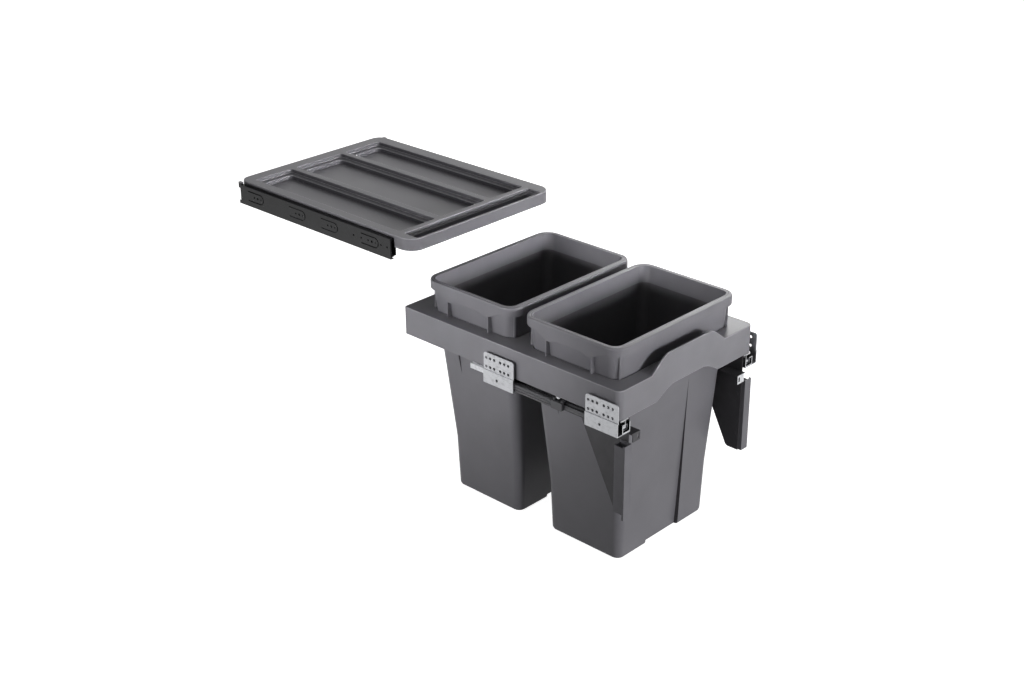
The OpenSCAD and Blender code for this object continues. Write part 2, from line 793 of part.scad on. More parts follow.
// The tapered body up to a height, drawn in by an inset, with its two sunk panels
module bin_body(inset, top) {
    far = 30;
    low = -cut;
    // Where the rounding of the bottom edge has turned halfway
    half_round = foot_round * (1 - cos(45));
    difference() {
        union() {
            hull() {
                slab(inset, inset + thin) foot_section(foot_round, inset);
                slab(inset + half_round, inset + half_round + thin) foot_section(half_round, inset);
                slab(inset + foot_round, inset + foot_round + thin) section(foot_round, inset);
                slab(knee_z, knee_z + thin) section(knee_z, inset);
            }
            hull() {
                slab(knee_z, knee_z + thin) section(knee_z, inset);
                slab(top - thin, top) section(top, inset);
            }
        }
        across_x(-panel_w / 2 - inset, panel_w + 2 * inset) {
            polygon([[face_y(low) - far, low], [face_y(low) + panel_depth + inset, low],
                [face_y(panel_top) + inset, panel_top], [face_y(panel_top) - far, panel_top]]);
            polygon([[back_y(low) + far, low], [back_y(panel_top) + far, panel_top],
                [back_y(panel_top) - inset, panel_top], [back_y(low) - panel_depth - inset, low]]);
        }
    }
}

// The foot's outline, drawn in further for the rounding of the bottom edge
module foot_section(round, inset) {
    translate([0, (face_y(0) + back_y(0)) / 2])
        round_rect(foot_w - 2 * round - 2 * inset, foot_d - 2 * round - 2 * inset,
            foot_corner - round - inset, $fn = 32);
}

// Handle lip seen from the side: two low points and an arched middle
module lip_outline() {
    half = lip_w / 2;
    low = half - lip_slant;
    flat = 7;
    arch = low - flat - 13;
    arch_z = skirt_z - lip_drop * 0.6;
    polygon([[-half, skirt_z + thin], [-half, skirt_z], [-low, skirt_z - lip_drop],
        [flat - low, skirt_z - lip_drop], [-arch, arch_z], [arch, arch_z],
        [low - flat, skirt_z - lip_drop], [low, skirt_z - lip_drop],
        [half, skirt_z], [half, skirt_z + thin]]);
}

module bin() {
    post_y = lip_w / 2 - 24;
    edge = 3;
    rib_h = skirt_z + thin - seat_z;
    corner_x = body_w / 2 - body_r;
    difference() {
        union() {
            bin_body(0, bin_h - edge);
            // Rim with its skirt turned down, and an eased top edge
            difference() {
                slab(skirt_z, bin_h - edge) round_rect(rim_w, rim_d, rim_r);
                slab(skirt_z - cut, bin_h - edge - bin_wall)
                    round_rect(rim_w - 2 * bin_wall, rim_d - 2 * bin_wall, rim_r - bin_wall);
            }
            hull() {
                slab(bin_h - edge - 0.1, bin_h - edge) round_rect(rim_w, rim_d, rim_r, $fn = 32);
                slab(bin_h - 0.9, bin_h - 0.8) round_rect(rim_w - 1.8, rim_d - 1.8, rim_r - 0.9, $fn = 32);
                slab(bin_h - 0.1, bin_h) round_rect(rim_w - 5, rim_d - 5, rim_r - 2.5, $fn = 32);
            }
            // Handle lips on both short sides, each on two posts that stand on the frame
            for (x = [-rim_w / 2, rim_w / 2 - lip_t])
                across_x(x, lip_t) lip_outline();
            for (x = [-rim_w / 2, body_w / 2 - thin], y = [-post_y, post_y])
                translate([x, y - lip_t / 2, seat_z])
                    cube([rim_in + thin, lip_t, rib_h]);
            // Ribs at the four corners, which stand on the frame too
            for (x = [-1, 1], y = [-1, 1])
                translate([x * corner_x, y * (body_d / 2 - body_r), seat_z])
                    rotate([0, 0, atan2(y * 3, x * 2)])
                        translate([body_r - 1, -lip_t / 2, 0])
                            cube([corner_rib + 1, lip_t, rib_h]);
            // Gussets that carry the posts down the short sides
            for (x = [-1, 1], y = gusset_ys)
                along_y(y - gusset_t / 2, gusset_t)
                    polygon([[x * side_x(seat_z), seat_z - 1],
                        [x * (side_x(seat_z) - 1), seat_z - 1],
                        [x * (side_x(seat_z - gusset_h) - 1), seat_z - gusset_h],
                        [x * side_x(seat_z), seat_z - gusset_h * 0.4]]);
        }
        bin_body(bin_wall, bin_h + cut);
        slab(bin_h - rebate_h, bin_h + cut) section(bin_h, bin_wall - ledge);
    }
}

module front_bin() {
    color(plastic) translate([0, front_bin_y, 0]) bin();
}

module rear_bin() {
    color(plastic) translate([0, rear_bin_y, 0]) bin();
}

// Bag ring: a flange in the rim's rebate and a collar that holds the bag down
module bag_ring() {
    low = bin_h - ring_h;
    flange = bin_h - rebate_h + ring_gap;
    slack = 0.3;
    difference() {
        union() {
            slab(flange, bin_h) section(bin_h, bin_wall - ledge + ring_gap);
            hull() {
                slab(flange, flange + thin) section(flange, bin_wall + slack);
                slab(low, low + thin) section(low, bin_wall + slack);
            }
        }
        hull() {
            slab(bin_h, bin_h + cut) section(bin_h, bin_wall + slack + ring_t);
            slab(low - cut, low) section(low, bin_wall + slack + ring_t);
        }
    }
}

module front_bag_ring() {
    color(plastic) translate([0, front_bin_y, 0]) bag_ring();
}

module rear_bag_ring() {
    color(plastic) translate([0, rear_bin_y, 0]) bag_ring();
}

// Lid rails

// Channel section lying on its side: a web and two flanges
module rail_channel(web0, web1, half, reach) {
    span(web0, rail_mid_z - half, web1, rail_mid_z + half);
    for (z = [rail_mid_z - half, rail_mid_z + half - lid_sheet])
        span(min(web0, reach), z, max(web1, reach), z + lid_sheet);
}

// U-shaped slit round a fixing tab, rounded at the front and open at the rear
module tab_slit() {
    tab_r = 8;
    outer_r = tab_r + tab_slit_w;
    length = bay_len - outer_r;
    translate([outer_r, 0]) difference() {
        union() {
            circle(outer_r);
            translate([0, -outer_r]) square([length, 2 * outer_r]);
        }
        circle(tab_r);
        translate([0, -tab_r]) square([length + cut, 2 * tab_r]);
    }
}

module lid_rail_cabinet() {
    depth = lid_sheet + 2 * cut;
    small_r = 1.8;
    pilot_r = 1.3;
    notch_half = 12;
    stop_h = 5;
    stop_len = 8;
    stop_w = 5;
    rear_y = rail_y + lid_rail_len;
    color(black_steel) difference() {
        union() {
            along_y(rail_y, lid_rail_len)
                rail_channel(web_in, cabinet_x, lid_rail_h / 2, web_in - 5.8);
            // Stop bent up from the rear end of the top flange
            along_y(rear_y - stop_len, stop_len)
                span(cabinet_x - stop_w, rail_top - thin, cabinet_x, rail_top + stop_h);
        }
        for (b = bay_ys) if (b + bay_len < lid_rail_len - web_notch) {
            y = rail_y + b;
            pin_x(web_in - cut, y + 8, hole_line_z, pilot_r, depth);
            pin_x(web_in - cut, y + tab_hole_y, hole_line_z, tab_hole_d / 2, depth);
            pin_x(web_in - cut, y + tab_hole_y + 9.5, hole_line_z, small_r, depth);
            translate([0, y, hole_line_z]) across_x(web_in - cut, depth) tab_slit();
        }
        for (y = lone_ys)
            pin_x(web_in - cut, rail_y + y, hole_line_z, small_r, depth);
        // Notch in the web's rear end, between the two flanges
        translate([0, 0, rail_mid_z]) across_x(web_in - cut, depth)
            span(rear_y - web_notch, -notch_half, rear_y + cut, notch_half);
    }
}

// A cage between two lid rail members: a web strip with a ball row above and below
module lid_cage(web0, web1, reach, half, y0) {
    slack = (lid_race_gap - lid_cage_t) / 2;
    color(bright) {
        along_y(y0, lid_cage_len) {
            span(web0, rail_mid_z - half + slack, web1, rail_mid_z + half - slack);
            for (s = [-1, 1])
                translate([0, rail_mid_z + s * (half - lid_race_gap / 2)])
                    translate([reach, -lid_cage_t / 2]) square([web1 - reach, lid_cage_t]);
        }
        for (s = [-1, 1])
            ball_rows([[reach + 1.6, rail_mid_z + s * (half - lid_race_gap / 2)]],
                y0, lid_cage_len, lid_cage_balls, lid_race_gap / 2 - fit);
    }
}

module lid_cage_outer() {
    lid_cage(mid_web + 0.25, web_in - 0.25, web_in - 5, lid_rail_h / 2 - lid_sheet, lid_cage_y);
}

module lid_rail_middle() {
    color(black_steel) along_y(rail_y + 1, lid_rail_len - 2)
        rail_channel(mid_web - lid_sheet, mid_web, race_2, mid_web - lid_sheet - 4.6);
}

module lid_cage_inner() {
    lid_cage(inner_reach + 0.3, mid_web - lid_sheet - 0.25, mid_web - lid_sheet - 4.4,
        race_2 - lid_sheet, lid_cage_y);
}

module lid_rail_inner() {
    color(black_steel) difference() {
        along_y(rail_y - inner_front, lid_rail_len + inner_front - 1)
            rail_channel(inner_web, inner_web + lid_sheet, race_3, inner_reach);
        for (y = lug_ys)
            pin_x(inner_web - cut, rail_y + y, rail_mid_z, shank_r + fit, lid_sheet + 2 * cut);
    }
}

// Lid tray

// The lid's outline, drawn in by an inset
module lid_outline(inset) {
    corner_rect(-lid_wide / 2 + inset, lid_y + inset, lid_wide / 2 - inset, lid_y + lid_d - inset,
        lid_front_r - inset, lid_rear_r - inset);
}

// Outline of the lid's skirt, which steps in beside the rails
module skirt_outline(inset) {
    difference() {
        lid_outline(inset);
        for (x = [-lid_wide, lid_w / 2 - inset])
            translate([x, rail_y - lid_step_gap - inset])
                square([lid_wide - lid_w / 2 + inset, lid_d]);
    }
}

// Outline of one pocket, drawn in by an inset
module pocket_outline(x0, x1, inset, r) {
    corner_rect(x0 + inset, lid_y + pocket_front + inset, x1 - inset,
        lid_y + lid_d - pocket_rear - inset, r, r);
}

// Outline of the groove along the lid's front edge, drawn in by an inset
module groove_outline(inset) {
    intersection() {
        lid_outline(groove_lip + inset);
        corner_rect(-lid_wide / 2 + pocket_left + inset, lid_y,
            lid_wide / 2 - pocket_right - inset, lid_y + groove_lip + groove_d - inset,
            pocket_r, pocket_r);
    }
}

module lid_tray() {
    side = lid_wide / 2;
    in_side = lid_w / 2;
    step_z = lid_top - pocket_h / 2;
    floor_z = lid_top - pocket_h;
    d1 = -divider_left;
    d2 = divider_right;
    pockets = [[-side + pocket_left, d1 - divider_w / 2],
        [d1 + divider_w / 2, d2 - divider_w / 2],
        [d2 + divider_w / 2, side - pocket_right]];
    lug_z = rail_mid_z - lug_h / 2;
    color(plastic) difference() {
        union() {
            slab(lid_top - lid_t, lid_top) lid_outline(0);
            difference() {
                slab(lid_foot, lid_top - thin) skirt_outline(0);
                slab(lid_foot - cut, lid_top) skirt_outline(lid_t);
            }
            // Walls of the pockets and of the groove, each with a ledge halfway down
            for (p = pockets) {
                slab(step_z - lid_t, lid_top - thin)
                    pocket_outline(p[0], p[1], -lid_t, pocket_r + lid_t);
                slab(floor_z - lid_t, lid_top - thin)
                    pocket_outline(p[0], p[1], ledge_w - lid_t, floor_r + lid_t);
            }
            slab(step_z - lid_t, lid_top - thin) groove_outline(-lid_t);
            slab(floor_z - lid_t, lid_top - thin) groove_outline(groove_ledge - lid_t);
            // Lugs inside the lid rails
            for (x = [-in_side, in_side - lid_t], y = lug_ys)
                translate([x, rail_y + y - lug_w / 2, lug_z])
                    cube([lid_t, lug_w, lid_foot - lug_z + thin]);
        }
        for (p = pockets) {
            slab(step_z, lid_top + cut) pocket_outline(p[0], p[1], 0, pocket_r);
            slab(floor_z, lid_top + cut) pocket_outline(p[0], p[1], ledge_w, floor_r);
        }
        slab(step_z, lid_top + cut) groove_outline(0);
        slab(floor_z, lid_top + cut) groove_outline(groove_ledge);
        for (x = [-in_side - cut, in_side - lid_t - cut], y = lug_ys)
            pin_x(x, rail_y + y, rail_mid_z, shank_r + fit, lid_t + 2 * cut);
    }
}

// Screws through the lid rails' inner members into the lid's lugs, each with its nut
module lid_screws() {
    module screw(y) {
        head_x = inner_web + lid_sheet;
        difference() {
            pin_x(head_x, y, rail_mid_z, lid_head_r, lid_head_h);
            for (a = [0, 90])
                translate([head_x + lid_head_h, y, rail_mid_z]) rotate([a, 0, 0])
                    cube([2, 3.6, 0.9], center = true);
        }
        pin_x(inner_web - lid_t - 4, y, rail_mid_z, shank_r, lid_t + 4 + lid_sheet);
        translate([lid_w / 2 - lid_t - 3, y, rail_mid_z]) rotate([0, 90, 0]) difference() {
            cylinder(r = 3.6, h = 3, $fn = 6);
            translate([0, 0, -cut]) cylinder(r = shank_r - fit, h = 3 + 2 * cut);
        }
    }
    color(bright) for (y = lug_ys) {
        screw(rail_y + y);
        left() screw(rail_y + y);
    }
}

left() mount_plate(runner_y);  // mount_plate_front_left
mount_plate(runner_y);  // mount_plate_front_right
left() mount_plate(runner_y + plate_pitch);  // mount_plate_rear_left
mount_plate(runner_y + plate_pitch);  // mount_plate_rear_right
left() runner_cabinet();  // runner_cabinet_left
runner_cabinet();  // runner_cabinet_right
left() damper_housing();  // damper_housing_left
damper_housing();  // damper_housing_right
runner_rivets();
left() runner_cage_outer();  // runner_cage_outer_left
runner_cage_outer();  // runner_cage_outer_right
left() runner_middle();  // runner_middle_left
runner_middle();  // runner_middle_right
left() runner_cage_inner();  // runner_cage_inner_left
runner_cage_inner();  // runner_cage_inner_right
left() damper_catch();  // damper_catch_left
damper_catch();  // damper_catch_right
carrier_frame();
left() runner_drawer();  // runner_drawer_left
runner_drawer();  // runner_drawer_right
left() door_bracket();  // door_bracket_left
door_bracket();  // door_bracket_right
left() door_post();  // door_post_left
door_post();  // door_post_right
bracket_rivets();
frame_screws();
front_bin();
rear_bin();
front_bag_ring();
rear_bag_ring();
left() lid_rail_cabinet();  // lid_rail_cabinet_left
lid_rail_cabinet();  // lid_rail_cabinet_right
left() lid_cage_outer();  // lid_cage_outer_left
lid_cage_outer();  // lid_cage_outer_right
left() lid_rail_middle();  // lid_rail_middle_left
lid_rail_middle();  // lid_rail_middle_right
left() lid_cage_inner();  // lid_cage_inner_left
lid_cage_inner();  // lid_cage_inner_right
left() lid_rail_inner();  // lid_rail_inner_left
lid_rail_inner();  // lid_rail_inner_right
lid_tray();
lid_screws();
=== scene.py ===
"""Looks of the pull-out waste bin unit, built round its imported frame."""

import json
import math

import bmesh
import bpy
from mathutils import Matrix, Vector


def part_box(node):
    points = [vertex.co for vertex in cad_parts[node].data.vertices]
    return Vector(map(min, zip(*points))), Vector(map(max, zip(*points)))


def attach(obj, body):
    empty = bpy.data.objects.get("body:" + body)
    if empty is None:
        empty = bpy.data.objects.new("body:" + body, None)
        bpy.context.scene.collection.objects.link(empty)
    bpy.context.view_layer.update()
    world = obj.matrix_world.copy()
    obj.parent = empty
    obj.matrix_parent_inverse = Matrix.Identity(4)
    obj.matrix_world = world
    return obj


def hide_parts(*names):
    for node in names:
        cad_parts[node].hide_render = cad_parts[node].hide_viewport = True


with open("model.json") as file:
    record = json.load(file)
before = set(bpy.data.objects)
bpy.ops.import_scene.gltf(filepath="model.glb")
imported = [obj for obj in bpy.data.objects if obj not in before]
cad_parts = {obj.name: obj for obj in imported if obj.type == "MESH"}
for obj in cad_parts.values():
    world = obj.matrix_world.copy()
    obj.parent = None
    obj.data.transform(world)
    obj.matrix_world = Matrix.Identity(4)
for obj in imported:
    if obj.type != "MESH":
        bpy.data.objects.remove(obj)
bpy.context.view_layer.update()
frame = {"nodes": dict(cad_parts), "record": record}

# Heights of the flat tops above the bins' feet, in metres as all lengths here
BIN_TOP = 0.411
FRAME_TOP = 0.354
LID_TOP = 0.4825
LID_LEDGE = 0.475

# The drawer member's flange: how far its edges stand from the middle, its ends, its thickness
FLANGE_SIDES = (0.1592, 0.1712)
FLANGE_ENDS = (0.0002, 0.3358)
FLANGE_SHEET = 0.0024

# The damper: its case's length, its grooves' heights and depth, and its catch's track
CASE_LENGTH = 0.13
GROOVES = (0.0047, 0.0093)
GROOVE_DEPTH = 0.0016
TRACK_DEPTH = 0.0028
TRACK_HEIGHT = 0.0078

# Points of a CAD node's loose triangles nearer than this are one point
SAME_POINT = 0.000004
# Faces within this angle, in degrees, are one flat face
SAME_PLANE = 0.6
# Edges sharper than these angles, in degrees, are rounded, and keep a crisp line in the shading
ROUNDED_FROM = 35
CRISP_FROM = 32


def put_down():
    """Leaves edit mode and lets go of every object."""
    if bpy.context.object and bpy.context.object.mode != "OBJECT":
        bpy.ops.object.mode_set(mode="OBJECT")
    bpy.ops.object.select_all(action="DESELECT")


def take(piece):
    """Makes a piece the one that the next operators work on."""
    put_down()
    piece.select_set(True)
    bpy.context.view_layer.objects.active = piece


def open_mesh(piece):
    """Goes into edit mode with nothing selected."""
    take(piece)
    bpy.ops.object.mode_set(mode="EDIT")
    bpy.ops.mesh.select_mode(type="FACE")
    bpy.ops.mesh.select_all(action="DESELECT")


def pick(piece, kind, wanted):
    """Selects the faces, edges or points that a test wants, and nothing else."""
    bpy.ops.mesh.select_mode(type=kind)
    bpy.ops.mesh.select_all(action="DESELECT")
    mesh = bmesh.from_edit_mesh(piece.data)
    for part in {"FACE": mesh.faces, "EDGE": mesh.edges, "VERT": mesh.verts}[kind]:
        if wanted(part):
            part.select_set(True)
    mesh.select_flush_mode()
    bmesh.update_edit_mesh(piece.data)


def settle(piece):
    """Applies the piece's place, so that its object sits at the origin, unturned."""
    take(piece)
    bpy.ops.object.transform_apply(location=True, rotation=True, scale=True)


def finish_with(piece, kind, **settings):
    """Adds one modifier with its settings and applies it."""
    take(piece)
    modifier = piece.modifiers.new(kind.title(), kind)
    for key, value in settings.items():
        setattr(modifier, key, value)
    bpy.ops.object.modifier_apply(modifier=modifier.name)


def soften(piece, width, degrees, corners="MITER_SHARP"):
    """Rounds every edge that is sharper than a limit."""
    finish_with(piece, "BEVEL", width=width, segments=2, limit_method="ANGLE",
                angle_limit=math.radians(degrees), miter_outer=corners)


def smooth(piece):
    """Smooth shading, with the hard edges kept."""
    take(piece)
    bpy.ops.object.shade_smooth_by_angle(angle=math.radians(CRISP_FROM))


def block(low, high):
    """A plain block between two corners, the start of a piece."""
    put_down()
    bpy.ops.mesh.primitive_cube_add(size=1, location=[(a + b) / 2 for a, b in zip(low, high)],
                                    scale=[b - a for a, b in zip(low, high)])
    piece = bpy.context.object
    settle(piece)
    return piece


def cut_level(piece, height):
    """Cuts the faces along a level line, so that a groove or a finish can end there."""
    open_mesh(piece)
    bpy.ops.mesh.select_all(action="SELECT")
    bpy.ops.mesh.bisect(plane_co=(0, 0, height), plane_no=(0, 0, 1))
    put_down()


def unite(piece, other):
    """Makes another shell a part of the piece."""
    take(piece)
    other.select_set(True)
    bpy.ops.object.join()


def copied(piece, name):
    """A copy with its own mesh and name."""
    take(piece)
    bpy.ops.object.duplicate(linked=False)
    other = bpy.context.object
    other.name = name
    other.data.name = name
    return other


def mirrored(piece, name):
    """The matching piece on the other side of the cabinet's middle."""
    other = copied(piece, name)
    open_mesh(other)
    bpy.ops.mesh.select_all(action="SELECT")
    bpy.ops.transform.resize(value=(-1, 1, 1), center_override=(0, 0, 0))
    bpy.ops.mesh.normals_make_consistent(inside=False)
    put_down()
    return other


def dress(piece, finish):
    """Gives the whole piece one finish."""
    piece.data.materials.clear()
    piece.data.materials.append(finish)


def round_with_highlight(piece, finish, width, wanted):
    """Rounds the edges that a test wants, and gives the rounding a painted highlight."""
    piece.data.materials.append(finish)
    open_mesh(piece)
    pick(piece, "EDGE", wanted)
    bpy.ops.mesh.bevel(offset=width, segments=3, affect="EDGES", clamp_overlap=False,
                       material=len(piece.data.materials) - 1)
    put_down()


def eased(node, finish, width, highlighted_edges):
    """A pressed or moulded piece from its exact solid, with its sharp edges rounded."""
    piece = copied(frame["nodes"][node], node + "_eased")
    # The CAD node's own marks aren't the new piece's.
    for key in list(piece.keys()):
        del piece[key]
    piece.parent = None
    open_mesh(piece)
    bpy.ops.mesh.select_all(action="SELECT")
    bpy.ops.mesh.remove_doubles(threshold=SAME_POINT)
    bpy.ops.mesh.dissolve_limited(angle_limit=math.radians(SAME_PLANE))
    put_down()
    dress(piece, finish)
    for edge_width, wanted in highlighted_edges:
        round_with_highlight(piece, ABS_EDGE_HIGHLIGHT, edge_width, wanted)
    soften(piece, width, ROUNDED_FROM, "MITER_ARC")
    smooth(piece)
    finish_with(piece, "WEIGHTED_NORMAL", keep_sharp=True)
    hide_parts(node)
    return piece


def tint(code):
    """An sRGB hex colour as Blender's linear one."""
    parts = [int(code[i:i + 2], 16) / 255 for i in (1, 3, 5)]
    return [p / 12.92 if p <= 0.04045 else ((p + 0.055) / 1.055) ** 2.4 for p in parts] + [1.0]


def add(tree, kind, settings=(), stops=(), **inputs):
    """Adds one node: its settings, its colour ramp's stops, and its sockets by name or number,
    each as a value or as a link from another node."""
    made = tree.nodes.new(kind)
    for key, value in dict(settings).items():
        setattr(made, key, value)
    for number, (position, colour) in enumerate(stops):
        made.color_ramp.elements[number].position = position
        made.color_ramp.elements[number].color = tint(colour)
    for key, value in inputs.items():
        socket = made.inputs[int(key[1:])] if key[0] == "_" else made.inputs[key.replace("_", " ")]
        if isinstance(value, bpy.types.Node):
            value = value.outputs[0]
        if isinstance(value, bpy.types.NodeSocket):
            tree.links.new(value, socket)
        else:
            socket.default_value = value
    return made


def new_finish(name):
    """An empty material, its node tree, and the place on the piece that its patterns follow."""
    finish = bpy.data.materials.new(name)
    finish.use_nodes = True
    tree = finish.node_tree
    tree.nodes.clear()
    place = add(tree, "ShaderNodeTexCoord").outputs["Object"]
    return finish, tree, place


def moulded_abs(name, dark, light, rough_low, rough_high):
    # ABS, injection moulded in a tool with a fine spark-eroded texture: satin, even anthracite
    # grey, a grain of about 0.35 mm and broad, faint clouds from the flow of the melt. Lighter and
    # darker copies of it paint light and shade: highlights on rounded edges, shade inside the bins,
    # light on the carrier frame.
    finish, tree, place = new_finish(name)
    grain = add(tree, "ShaderNodeTexNoise", Vector=place, Scale=1 / 0.00035, Detail=2.0,
                Roughness=0.6)
    flow = add(tree, "ShaderNodeTexNoise", Vector=place, Scale=1 / 0.09, Detail=3.0,
               Roughness=0.55)
    base = add(tree, "ShaderNodeValToRGB", stops=((0.3, dark), (0.7, light)), _0=flow)
    speck = add(tree, "ShaderNodeValToRGB", stops=((0.35, "#f4f4f4"), (0.7, "#ffffff")), _0=grain)
    colour = add(tree, "ShaderNodeMix", {"data_type": "RGBA", "blend_type": "MULTIPLY"},
                 _0=0.7, _6=base, _7=speck).outputs[2]
    rough = add(tree, "ShaderNodeMapRange", Value=flow, From_Min=0.3, From_Max=0.7,
                To_Min=rough_low, To_Max=rough_high)
    bump = add(tree, "ShaderNodeBump", Strength=0.12, Distance=0.00006, Height=grain)
    shader = add(tree, "ShaderNodeBsdfPrincipled", Base_Color=colour, Roughness=rough, IOR=1.52,
                 Specular_IOR_Level=0.33, Normal=bump)
    add(tree, "ShaderNodeOutputMaterial", Surface=shader)
    return finish


def glass_filled_nylon():
    # PA6 with glass fibre, moulded: darker and duller than the ABS, with a coarser mottle where
    # the fibres lie near the skin, about 1.2 mm across.
    finish, tree, place = new_finish("glass_filled_nylon")
    mottle = add(tree, "ShaderNodeTexNoise", Vector=place, Scale=1 / 0.0012, Detail=4.0,
                 Roughness=0.65)
    colour = add(tree, "ShaderNodeValToRGB", stops=((0.3, "#3d3d40"), (0.7, "#48484b")), _0=mottle)
    rough = add(tree, "ShaderNodeMapRange", Value=mottle, From_Min=0.3, From_Max=0.7,
                To_Min=0.48, To_Max=0.6)
    bump = add(tree, "ShaderNodeBump", Strength=0.2, Distance=0.00008, Height=mottle)
    shader = add(tree, "ShaderNodeBsdfPrincipled", Base_Color=colour, Roughness=rough, IOR=1.53,
                 Normal=bump)
    add(tree, "ShaderNodeOutputMaterial", Surface=shader)
    return finish


def rolled_steel(name, dark, light, rough_low, rough_high, grain):
    # Cold-rolled steel, zinc plated or bare: rolling lines along the part, each as wide as its
    # grain, under a bloom of some 6 mm. Its shade and gloss tell which it is; a darkened copy is
    # painted shade, and the brightest ones carry painted highlights.
    finish, tree, place = new_finish(name)
    drawn = add(tree, "ShaderNodeMapping", Vector=place, Scale=(1.0, 0.06, 1.0))
    lines = add(tree, "ShaderNodeTexNoise", Vector=drawn, Scale=1 / grain, Detail=3.0,
                Roughness=0.6)
    bloom = add(tree, "ShaderNodeTexNoise", Vector=place, Scale=1 / 0.006, Detail=4.0,
                Roughness=0.6)
    mixed = add(tree, "ShaderNodeMath", {"operation": "ADD"}, _0=lines, _1=bloom)
    colour = add(tree, "ShaderNodeValToRGB", stops=((0.75, dark), (1.0, light)), _0=mixed)
    rough = add(tree, "ShaderNodeMapRange", Value=mixed, From_Min=0.75, From_Max=1.25,
                To_Min=rough_low, To_Max=rough_high)
    bump = add(tree, "ShaderNodeBump", Strength=0.15, Distance=0.00004, Height=lines)
    shader = add(tree, "ShaderNodeBsdfPrincipled", Base_Color=colour, Roughness=rough,
                 Metallic=1.0, Normal=bump)
    add(tree, "ShaderNodeOutputMaterial", Surface=shader)
    return finish


def paint_film(name, dark, light, rough_low, rough_high, skin):
    # Steel under a thin paint film: the colour of the paint, the fine orange peel of its skin.
    finish, tree, place = new_finish(name)
    peel = add(tree, "ShaderNodeTexNoise", Vector=place, Scale=1 / skin, Detail=2.0,
               Roughness=0.5)
    cloud = add(tree, "ShaderNodeTexNoise", Vector=place, Scale=1 / 0.03, Detail=3.0,
                Roughness=0.6)
    colour = add(tree, "ShaderNodeValToRGB", stops=((0.3, dark), (0.7, light)), _0=cloud)
    rough = add(tree, "ShaderNodeMapRange", Value=peel, From_Min=0.3, From_Max=0.7,
                To_Min=rough_low, To_Max=rough_high)
    bump = add(tree, "ShaderNodeBump", Strength=0.1, Distance=0.00006, Height=peel)
    shader = add(tree, "ShaderNodeBsdfPrincipled", Base_Color=colour, Roughness=rough, IOR=1.5,
                 Specular_IOR_Level=0.35, Normal=bump)
    add(tree, "ShaderNodeOutputMaterial", Surface=shader)
    return finish


# Each finish: two shades of its colour, its least and most roughness, and on steel its grain
ABS = moulded_abs("moulded_abs", "#66656a", "#6f6e73", 0.36, 0.44)
# The carrier frame gets a lighter copy of the same ABS: painted light, for its upright front
# catching more light than the bins' leaning fronts. The carrier frame comes from another
# tool and is a shade lighter.
ABS_CARRIER_PAINTED_LIGHT = moulded_abs("moulded_abs_carrier_painted_light", "#717075", "#7a797e", 0.36, 0.44)
# Painted shade inside the bins: a darker, duller copy of the ABS on their floors and inner walls.
ABS_PAINTED_SHADE = moulded_abs("moulded_abs_painted_shade", "#4e4d50", "#575659", 0.46, 0.56)
# Painted highlight: a lighter, glossier copy on rounded rims and brims
ABS_EDGE_HIGHLIGHT = moulded_abs("moulded_abs_painted_highlight", "#8b8a8f", "#98979c", 0.28, 0.36)
NYLON = glass_filled_nylon()
PLATE_ZINC = rolled_steel("zinc_plated_sheet", "#9c9da0", "#b6b7ba", 0.38, 0.5, 0.0006)
RUNNER_ZINC = rolled_steel("zinc_plated_profile", "#a9aaad", "#cfd0d3", 0.26, 0.4, 0.0005)
# Painted shade: a dark copy of the steel for cabinet members, lid cages and the middle members'
# front ends
RUNNER_PAINTED_SHADE = rolled_steel("profile_painted_shade", "#2a2a2c", "#39393b", 0.34, 0.46, 0.0005)
# A painted highlight: zinc lighter than the runner's, for the drawer member's flange
ZINC_HIGHLIGHT = rolled_steel("zinc_painted_highlight", "#dadbdd", "#f0f0f1", 0.2, 0.3, 0.0004)
# Bare sheared ends of the cabinet members, and a painted highlight on their bend and on the right
# door tab
CUT_STEEL_AND_HIGHLIGHT = rolled_steel("sheared_steel_and_painted_highlight", "#b4b5b8", "#d8d9dc", 0.3, 0.4, 0.0003)
CAGE_STEEL = rolled_steel("bright_steel", "#a3a3a6", "#c8c8ca", 0.2, 0.3, 0.0004)
# The lid rails' black dip paint, and a grey copy of it along the bend, a painted highlight
RAIL_BLACK = paint_film("electrophoretic_black", "#161617", "#202022", 0.26, 0.36, 0.0005)
RAIL_HIGHLIGHT = paint_film("electrophoretic_painted_highlight", "#7c7c7f", "#8c8c8f", 0.28, 0.38, 0.0005)
# Powder coat, coarser skinned than the dip paint
BRACKET_GREY = paint_film("powder_coat_anthracite", "#3b3a3d", "#444346", 0.42, 0.56, 0.0007)
POST_GREY = paint_film("powder_coat_grey", "#626166", "#6b6a6f", 0.4, 0.52, 0.0007)

FINISH_OF_SLOT = {
    "moulded_plastic": ABS, "damper_plastic": NYLON, "plate_steel": PLATE_ZINC,
    "runner_steel": RUNNER_ZINC, "rail_steel": RAIL_BLACK, "bracket_steel": BRACKET_GREY,
    "cage_steel": CAGE_STEEL, "fastener_steel": CAGE_STEEL}
# Pieces whose finish differs from their slot's, by the start of the name; lid cages and cabinet
# members get painted shade, the carrier frame painted light
OWN_FINISH = (("bracket_rivets", BRACKET_GREY), ("lid_cage", RUNNER_PAINTED_SHADE), ("door_post", POST_GREY),
              ("runner_cabinet", RUNNER_PAINTED_SHADE), ("carrier_frame", ABS_CARRIER_PAINTED_LIGHT))

slot_of = {row["node"]: row["material_slot"] for row in frame["record"]["subparts"]}
body_of = {node: body for body, nodes in frame["record"]["behaviour"]["bodies"].items()
           for node in nodes}


def finish_of(node):
    """The finish of a piece: its own, or that of its slot."""
    for start, finish in OWN_FINISH:
        if node.startswith(start):
            return finish
    return FINISH_OF_SLOT[slot_of[node]]


def hand_over(piece, node):
    """A finished piece takes its node's body."""
    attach(piece, body_of[node])


